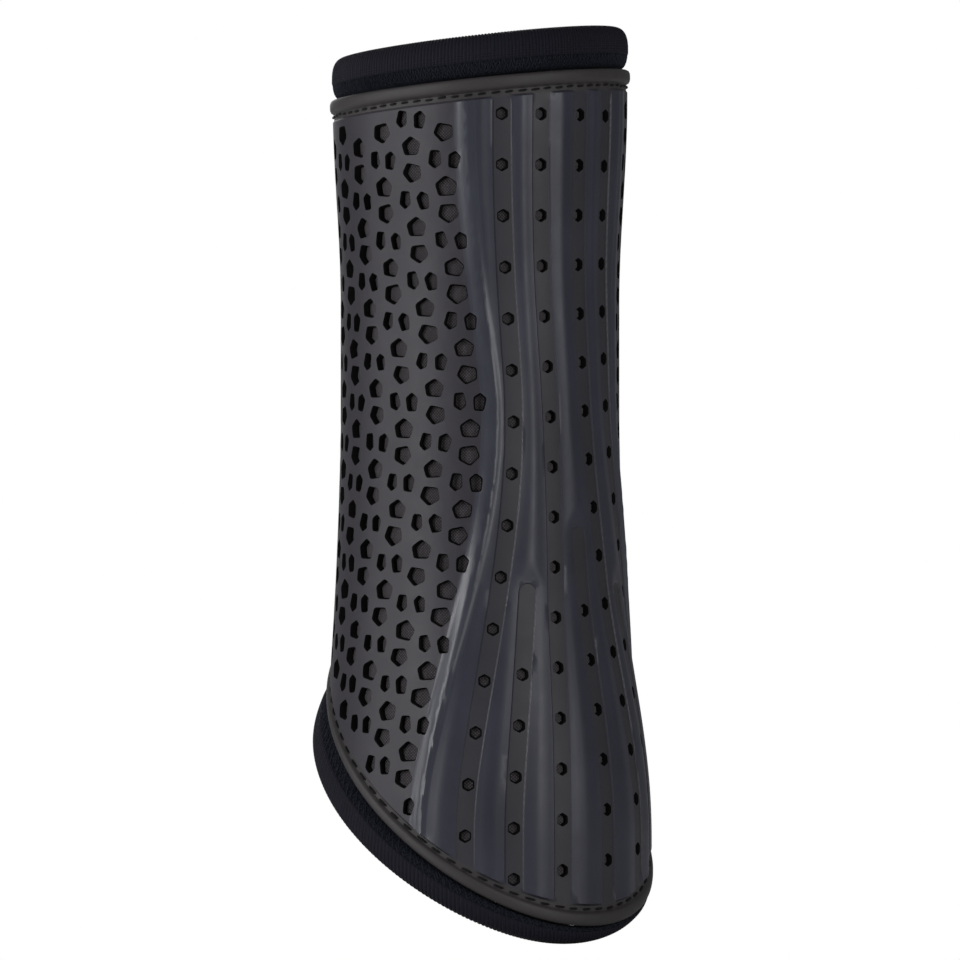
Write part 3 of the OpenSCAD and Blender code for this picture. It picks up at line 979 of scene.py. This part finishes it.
for top, end in ((True, "top"), (False, "bottom")):
    circle = np.linspace(0, 360, 28, endpoint=False)
    around = np.linspace(START_TURN, END_TURN, 119)
    core = Part()
    rings = roll(around[:, None], circle[None], top, -0.02 + 0 * around[:, None] * circle)
    if not top:
        rings = rings[:, ::-1]
    tube(core, rings, np.stack(np.broadcast_arrays(around[:, None] * SHEET_SCALE,
                                                   circle[None] * 0.1), -1))
    foam = make_pair(f"{end}_roll_foam", core, [FOAM])
    binding = make_pair(f"{end}_elastic_binding", binding_part(top), [BINDING], sharp=60)
    facing = make_pair(f"{end}_knit_facing", facing_part(top), [FACING], sharp=60)
    yarns = make_pair(f"{end}_facing_yarn", facing_yarn_part(top), [YARN], sharp=70)
    stitches = make_pair(f"{end}_seam_stitches", seam_part(top), [THREAD], sharp=70)
    for k, prefix in enumerate(("", "wing_")):
        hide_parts(f"{prefix}{end}_collar_foam")
        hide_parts(f"{prefix}{end}_binding")
        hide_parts(f"{prefix}{end}_facing")
        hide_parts(f"{prefix}{end}_seam")
    cloth(binding, tape_cuts(top, 0.25, 0), "folded", [f.name for f in foam])
    cloth(facing, tape_cuts(top, 0.08, 0.18), "stretched", [f.name for f in foam])

root_tape = make("root_edge_tape", edge_tape_part(-1), [TAPE], sharp=50)
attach(root_tape, "boot")
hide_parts("closing_edge_tape")
free_tape = make("free_edge_tape", edge_tape_part(1), [TAPE], sharp=50)
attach(free_tape, "wing")
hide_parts("wing_edge_tape")
for sign, body in ((-1, "boot"), (1, "wing")):
    thread = Part()
    for turn in (CLOSING - sign * 9.4, CLOSING - sign * 7.7):
        stitch_row(thread, line_spots(turn, TAPE_LOW + 1, turn, TAPE_HIGH - 1), -1.0, 0.22)
    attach(make(f"{body}_tape_stitches", thread, [THREAD], sharp=70), body)

flap = make("inner_tongue", patch_part(
    CLOSING - 20, CLOSING + 20, 10.25, 12.4, bottom_edge(180) + 14, top_edge(180) - 12,
    25, 1.5, 0.12, corner=12), [LINING], sharp=50)
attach(flap, "boot")
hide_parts("tongue")

loops = Part()
anchors = Part()
anchor_thread = Part()
for i, name in enumerate(STRAP_NAMES):
    z = strap_z(i)
    one = patch_part(LOOP_TURN, STRAP_END - 1, -1.2, PATCH_IN, z - 19, z + 19, 25, 1.2, corner=3)
    loops.add(one.points, one.flat, one.faces)
    one = patch_part(STRAP_TURN - 16, STRAP_TURN - 0.6, WEB_OUT, PATCH_IN, z - STRAP_HALF,
                     z + STRAP_HALF, corner=2, **STRAP_RIBS)
    anchors.add(one.points, one.flat, one.faces)
    box = box_spots(STRAP_TURN - 14, STRAP_TURN - 2.4, z - SEWN_HALF, z + SEWN_HALF)
    stitch_row(anchor_thread, box, SEWN_DEPTH, 0.3)
    web = make(f"{name}_elastic_web", patch_part(
        STRAP_TURN, STRAP_END - TAB_LEN, WEB_OUT, WEB_IN, z - STRAP_HALF, z + STRAP_HALF,
        **STRAP_RIBS), [WEBBING], sharp=60)
    grip = make(f"{name}_pull_grip", tab_part(i), [TAB], sharp=50)
    hooks = make(f"{name}_hook_field", hook_part(i), [HOOKS], sharp=50)
    sewn = Part()
    box = box_spots(LOOP_TURN + 2, STRAP_END - TAB_LEN - 2, z - SEWN_HALF, z + SEWN_HALF)
    stitch_row(sewn, box, SEWN_DEPTH, 0.3)
    end_thread = make(f"{name}_web_stitches", sewn, [THREAD], sharp=70)
    for obj, node in ((web, "strap"), (grip, "tab"), (hooks, "hook"), (end_thread, None)):
        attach(obj, f"{name}_strap")
        if node:
            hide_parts(f"{name}_{node}")
loop_tape = make("loop_pile_tapes", loops, [LOOPS], sharp=50)
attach(loop_tape, "boot")
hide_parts("loop_tapes")
anchor = make("strap_roots", anchors, [WEBBING], sharp=60)
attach(anchor, "wing")
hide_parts("strap_anchors")
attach(make("strap_root_stitches", anchor_thread, [THREAD], sharp=70), "wing")


# ---------------------------------------------------------------- floor, light and camera
LAMP_AIM = 0.147      # the height that the lamps point at, in metres


def lamp(name, azimuth, height, distance, size, power):
    """A soft box at an azimuth measured like the camera's, aimed at the boot's middle."""
    light = bpy.data.lights.new(name, "AREA")
    light.shape = "RECTANGLE"
    light.size, light.size_y = size
    light.energy = power
    obj = bpy.data.objects.new(name, light)
    a = math.radians(azimuth)
    obj.location = (math.sin(a) * distance, -math.cos(a) * distance, height)
    toward = Vector((0, 0, LAMP_AIM)) - obj.location
    obj.rotation_euler = toward.to_track_quat("-Z", "Y").to_euler()
    bpy.context.scene.collection.objects.link(obj)


CAMERA_AZIMUTH = -40
VIEW_HEIGHT = 0.3101
CAMERA_DISTANCE = 3.0
CAMERA_Z = 0.1458
FLOOR_Z = -0.002       # just under the low collar
FILL = 0.16            # the studio's own light, which the camera sees as white
scene = bpy.context.scene
scene.view_settings.view_transform = "Standard"

floor_mesh = bpy.data.meshes.new("studio_floor")
net = bmesh.new()
bmesh.ops.create_grid(net, x_segments=8, y_segments=8, size=6)
net.to_mesh(floor_mesh)
net.free()
floor = bpy.data.objects.new("studio_floor", floor_mesh)
floor.location.z = FLOOR_Z
scene.collection.objects.link(floor)
paper, paper_tree, paper_shader = finish("paper", (0.8, 0.8, 0.8), 0.9)
glow = paper_tree.nodes.new("ShaderNodeEmission")
glow.inputs["Color"].default_value = (1, 1, 1, 1)
seen = paper_tree.nodes.new("ShaderNodeLightPath")
paper_mix = paper_tree.nodes.new("ShaderNodeMixShader")
paper_tree.links.new(seen.outputs["Is Camera Ray"], paper_mix.inputs["Fac"])
paper_tree.links.new(paper_shader.outputs["BSDF"], paper_mix.inputs[1])
paper_tree.links.new(glow.outputs["Emission"], paper_mix.inputs[2])
paper_tree.links.new(paper_mix.outputs["Shader"],
                     paper_tree.nodes["Material Output"].inputs["Surface"])
floor_mesh.materials.append(paper)

world = bpy.data.worlds.new("studio")
world.use_nodes = True
scene.world = world
sky = world.node_tree
fill = sky.nodes["Background"]
fill.inputs["Color"].default_value = (1, 1, 1, 1)
fill.inputs["Strength"].default_value = FILL
white = sky.nodes.new("ShaderNodeBackground")
white.inputs["Color"].default_value = (1, 1, 1, 1)
path = sky.nodes.new("ShaderNodeLightPath")
either = sky.nodes.new("ShaderNodeMixShader")
sky.links.new(path.outputs["Is Camera Ray"], either.inputs["Fac"])
sky.links.new(fill.outputs["Background"], either.inputs[1])
sky.links.new(white.outputs["Background"], either.inputs[2])
sky.links.new(either.outputs["Shader"], sky.nodes["World Output"].inputs["Surface"])

lamp("key_box", -88, 0.5, 1.5, (0.35, 0.9), 9)
lamp("panel_box", 2, 0.6, 1.6, (0.35, 1.1), 8)
lamp("edge_box", -124, 0.35, 1.3, (0.3, 1.2), 5)
lamp("back_box", 150, 0.9, 1.7, (1.2, 1.2), 11)

camera_data = bpy.data.cameras.new("camera")
camera_data.lens = camera_data.sensor_width * CAMERA_DISTANCE / VIEW_HEIGHT
camera_data.clip_end = 20
camera = bpy.data.objects.new("camera", camera_data)
camera_turn = math.radians(CAMERA_AZIMUTH)
camera.location = (math.sin(camera_turn) * CAMERA_DISTANCE,
                   -math.cos(camera_turn) * CAMERA_DISTANCE, CAMERA_Z)
camera.rotation_euler = (math.radians(90), 0, camera_turn)
scene.collection.objects.link(camera)
scene.camera = camera
